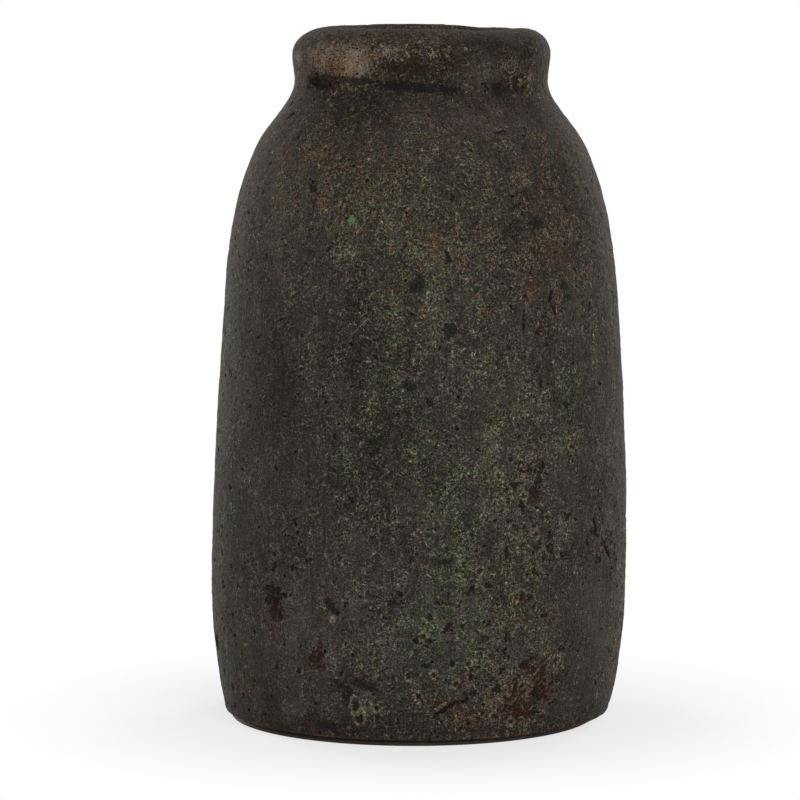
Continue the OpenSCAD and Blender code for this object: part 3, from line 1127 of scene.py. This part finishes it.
# %% How light the crust is
crusty = rise(p["crusty"], 0, 1, 0.6, 1.1)
lightness = (0.30 + centred(grains, 1.8) * crusty + centred(small_spots, 0.5) * crusty
             + centred(middle_spots, 0.38) + centred(broad, 0.30)
             + centred(streaks, 0.35) * (1.15 - p["crusty"])
             + rise(bubble, 0.1, 0.4, -0.22, 0.03) * cluster + specks * crusty * 0.35
             + painted("straw") * 0.08 + painted("mauve") * 0.15
             + painted("moss") * 0.03 + painted("brown") * 0.04
             # Pores are darker, partly dirt and partly painted shade
             + p["halo"] * 0.10 + p["pore"] * -0.22 + low_edge * -0.08
             # Dim veils make the crust darker; those under the rim and in the hollow by the crumbs
             # are painted shade
             + painted("dim") * -0.22
             # Darker from 385 mm up; the top of the rim's crest gets a painted highlight, as if lit
             # from above
             + rise(high, 385 * MM, 430 * MM) * -0.10 + rise(high, 444 * MM, 456 * MM) * 0.22)
lightness = calc("POWER", clamped(lightness), 1.8)

# %% Colours of the marks
# Tan bloom on the rim, with worm-like dark strokes
worms = fall(calc("ABSOLUTE", clouds(p["curled"], 3.2, detail=1) - 0.47), 0.02, 0.07)
sponge = clamped(0.60 + centred(grains, 3.0) + worms * -0.34 + p["pore"] * -0.4
                 + centred(middle_spots, 1.4))
tan = rise(painted("tan") + p["ragged"] * 1.6 + p["frayed"], 0.25, 0.85)
bloom = rise(painted("tan") + p["ragged"] * 1.5, 0.6, 1.5)
tan_tone = blend_of(bloom, tone(150, 139, 124), tone(158, 134, 112))
golden = rise(clouds(p["at"], 7, detail=2, rough=0.6), 0.46, 0.60, 0, 0.75)
tan_colour = blend_of(golden, blend_of(sponge, tone(34, 27, 20), tan_tone),
                      blend_of(sponge, tone(30, 22, 14), tone(142, 110, 76)))

# Holes and hollows are dark, partly dirt and partly painted shade, some with a reddish bottom
deep = blend_of(rise(hue_spots, 0.5, 0.62), tone(13, 11, 10), tone(26, 13, 9))

# Smooth soot, red flakes with veins and stains, sores dark with dirt and painted shade, pale scale,
# moss-green where it grew
soot_colour = blend_of(rise(grains, 0.40, 0.80), tone(12, 12, 11), tone(50, 48, 44))
veins = fall(calc("ABSOLUTE", clouds(p["at"], 7, detail=2) - 0.5), 0, 0.03)
veined = blend_of(veins * rise(small_spots, 0.4, 0.6) * 0.7,
                  use(fired_clay, Place=rest)["Colour"], tone(128, 104, 78))
stain = rise(clouds(p["at"], 6, detail=2, rough=0.6), 0.44, 0.62, 0.7, 0.1)
veined = blend_of(stain, veined, tone(40, 25, 18))
sore_colour = blend_of(rise(grains, 0.40, 0.75), tone(20, 14, 11), tone(58, 44, 34))
pale_colour = blend_of(sponge, tone(60, 50, 38), tone(160, 144, 122))
pale_colour = blend_of(rise(painted("moss"), 0.8, 1.4), pale_colour, tone(88, 138, 84))

# The rusty line at the crust's lower edge, and a painted shadow under it
foot_line = (rise(high, 4.8 * MM, 5.1 * MM) * fall(high, 5.6 * MM, 6.4 * MM)
             * rise(hue_spots + p["frayed"] * 0.4, 0.46, 0.56))
painted_shadow_under_edge = fall(high, 4.5 * MM, 5.0 * MM, 0.95)

# %% Lay the colours over each other
bare = 1 - threads * 0.6
solid = rise(painted("pale"), 0.7, 1.3, 0.35, 0.9)
surface = blend_of(lightness, dark_tone, light_tone)
for share, colour in ((threads * 0.76, thread_tone), (tan * 0.9, tan_colour),
                      (p["hollow"] * 0.8, deep), (p["hole"], deep),
                      (p["ring"] * 0.22, thread_tone), (p["soot"] * 0.95, soot_colour),
                      (p["scar"] * bare, veined), (p["sore"] * bare * 0.88, sore_colour),
                      (p["pale"] * solid, pale_colour), (p["crack"] * 0.9, tone(14, 10, 8)),
                      # The crease's near-black colour is painted shade
                      (p["crease"] * 0.75, tone(16, 14, 14)),
                      (foot_line * 0.85, tone(98, 62, 46)), (painted_shadow_under_edge, tone(10, 8, 7))):
    surface = blend_of(share, surface, colour)
grain = use(fine_grain, Place=rest, Scale=1 / (0.8 * MM))["Height"]
height = grain * 0.6 + threads * 0.5 + small_spots * 0.5 + p["pore"] * -0.6
finish(shader, surface, height, strength=0.8, distance=0.7 * MM)
connect(rise(p["soot"], 0, 1, 0.92, 0.78), shader.inputs["Roughness"])
for band in bands:
    band.data.materials.append(crust_material)
print("crust material:", len(crust_material.node_tree.nodes), "nodes")

# %% Material: bare clay inside
clay_material, shader = new_material("smoked red clay", roughness=0.92, specular=0.25)
at = Value(new_node("ShaderNodeTexCoord").outputs["Object"])
clay_look = use(fired_clay, Place=at)
grain = use(fine_grain, Place=at, Scale=1 / (1.2 * MM))["Height"]
finish(shader, clay_look["Colour"], clay_look["Height"] + grain * 0.5, 0.5, 0.6 * MM)
for piece in clay_pieces.values():
    piece.data.materials.append(clay_material)

# %% Material: rubber pad
pad_material, shader = new_material("dark rubber", roughness=0.75, specular=0.3)
at = Value(new_node("ShaderNodeTexCoord").outputs["Object"])
scuffs = rise(clouds(at, 9, detail=4, rough=0.65), 0.45, 0.75)
grain = use(fine_grain, Place=at, Scale=1 / (0.7 * MM))["Height"]
finish(shader, blend_of(scuffs, tone(37, 32, 28), tone(54, 47, 41)), grain, 0.3, 0.3 * MM)
pad.data.materials.append(pad_material)

# %% [markdown]
# ## Studio
# The photograph's background is pure white, and its light is even, with a soft lamp
# on each side that brightens both edges of the jar. The floor keeps the shadow near
# the jar, and further away it turns into the same white as the world.

# %% Floor and world
WHITE = (1, 1, 1, 1)
FLOOR_COLOUR = (0.85, 0.85, 0.85, 1)
FLOOR_SIZE = 12
SHADOW_ENDS = (0.12, 0.30)
GLOW_IN_SHADOW = 0.72
WORLD_LIGHT = 0.15


def seen():
    """1 for rays that show the background, 0 for those that only light the jar."""
    path = by_name(new_node("ShaderNodeLightPath").outputs)
    rays = path["Is Camera Ray"] + path["Is Glossy Ray"] + path["Is Transmission Ray"]
    return calc("MINIMUM", rays, 1)


bpy.ops.object.select_all(action="DESELECT")
bpy.ops.mesh.primitive_plane_add(size=FLOOR_SIZE, location=(0, 0, 0))
floor = bpy.context.object
floor.name = "floor"
floor_material = bpy.data.materials.new("white floor")
floor_material.use_nodes = True
floor_material.node_tree.nodes.clear()
work_in(floor_material.node_tree)
at = Value(new_node("ShaderNodeTexCoord").outputs["Object"])
from_jar = vector_of("LENGTH", {0: at}, output=1)
plain = add("ShaderNodeBsdfDiffuse", {"Color": FLOOR_COLOUR})
glow = add("ShaderNodeEmission", {"Color": WHITE, "Strength": 1.0})
share = seen() * rise(from_jar, *SHADOW_ENDS, GLOW_IN_SHADOW, 1)
mixed = add("ShaderNodeMixShader", {0: share, 1: plain, 2: glow})
new_node("ShaderNodeOutputMaterial", {"Surface": mixed})
floor.data.materials.append(floor_material)

world = bpy.data.worlds.new("studio")
bpy.context.scene.world = world
world.use_nodes = True
world.node_tree.nodes.clear()
work_in(world.node_tree)
soft = add("ShaderNodeBackground", {"Color": WHITE, "Strength": WORLD_LIGHT})
white = add("ShaderNodeBackground", {"Color": WHITE, "Strength": 1.0})
mixed = add("ShaderNodeMixShader", {0: seen(), 1: soft, 2: white})
new_node("ShaderNodeOutputWorld", {"Surface": mixed})

# %% Lamps
AIM = Vector((0, 0, 0.23))
# Of each lamp: its place, width, height and power
LAMPS = {"front_lamp": ((0.75, -2.4, 0.9), 1.4, 1.4, 43.5),
         "left_lamp": ((-1.6, 1.85, 0.5), 1.0, 1.8, 66),
         "right_lamp": ((1.3, 2.1, 0.75), 0.9, 1.7, 39)}
for name, (spot, width, tall, power) in LAMPS.items():
    light = bpy.data.lights.new(name, "AREA")
    light.shape = "RECTANGLE"
    light.size = width
    light.size_y = tall
    light.energy = power
    lamp = bpy.data.objects.new(name, light)
    lamp.location = spot
    lamp.rotation_euler = (AIM - lamp.location).to_track_quat("-Z", "Y").to_euler()
    bpy.context.collection.objects.link(lamp)
bpy.context.scene.view_settings.view_transform = "Standard"
print(len(LAMPS), "lamps")

# %% [markdown]
# ## Into the frame
# Nothing on the jar moves, so every piece rides on the one body. The CAD solid that
# each piece stands for is hidden.

# %% Ride, and hide the CAD solids that the pieces stand for
for band in bands:
    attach(band, "root")
    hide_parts("slip_crust")
for node, piece in clay_pieces.items():
    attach(piece, "root")
    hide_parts(node)
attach(pad, "root")
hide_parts("base_pad")

# %% Where the image points ended up
# An edge is looked for on its own line of the picture, this many pixels to each side
NEAR_LINE = 1.5
EDGE_SIDES = {"left_edge": (0, -1), "right_edge": (0, 1), "top_edge": (1, -1),
              "bottom_edge": (1, 1)}
# A mark is looked for within a reach in mm, by the kinds that were painted there
LOOK_FOR = {"rim_patch": (26, "tan"), "rim_chip": (9, "pale"), "rim_crease": (30, "crease"),
            "rim_crumbs": (20, "sore"), "rust_spot": (5, "rust"), "green_dot": (5, "moss"),
            "dark_spot_high": (8, "soot"), "dark_spot_middle": (8, "soot"),
            "dark_spot_low": (8, "soot"), "flake_right": (14, "sore", "scar"),
            "crack_right": (13, "crack"), "scar_left": (14, "sore", "scar"),
            "pale_spot": (4, "pale"), "scar_low": (12, "scar"), "pale_ring": (14, "pale"),
            "flaked_patch": (12, "scar")}
STRONG = 0.45


def values_of(kind):
    """The painted values of a kind at every vertex of the bands."""
    parts = [np.empty(len(band.data.vertices), np.float32) for band in bands]
    for band, part in zip(bands, parts):
        band.data.attributes[kind].data.foreach_get("value", part)
    return np.concatenate(parts)


outline_points = shown_at(coordinates(*bands, pad))
for name, (axis, side) in EDGE_SIDES.items():
    off_line = np.abs(outline_points[:, 1 - axis] - POINTS[name][1 - axis])
    level = outline_points[off_line < NEAR_LINE]
    level[(side * level[:, axis]).argmax()]
spots_at = coordinates(*bands)
for name, (reach, *kinds) in LOOK_FOR.items():
    spot, _ = spot_at(name)
    near = np.linalg.norm(spots_at - np.array(spot), axis=1) < reach * MM
    strong = near & (np.maximum.reduce([values_of(kind) for kind in kinds]) > STRONG)
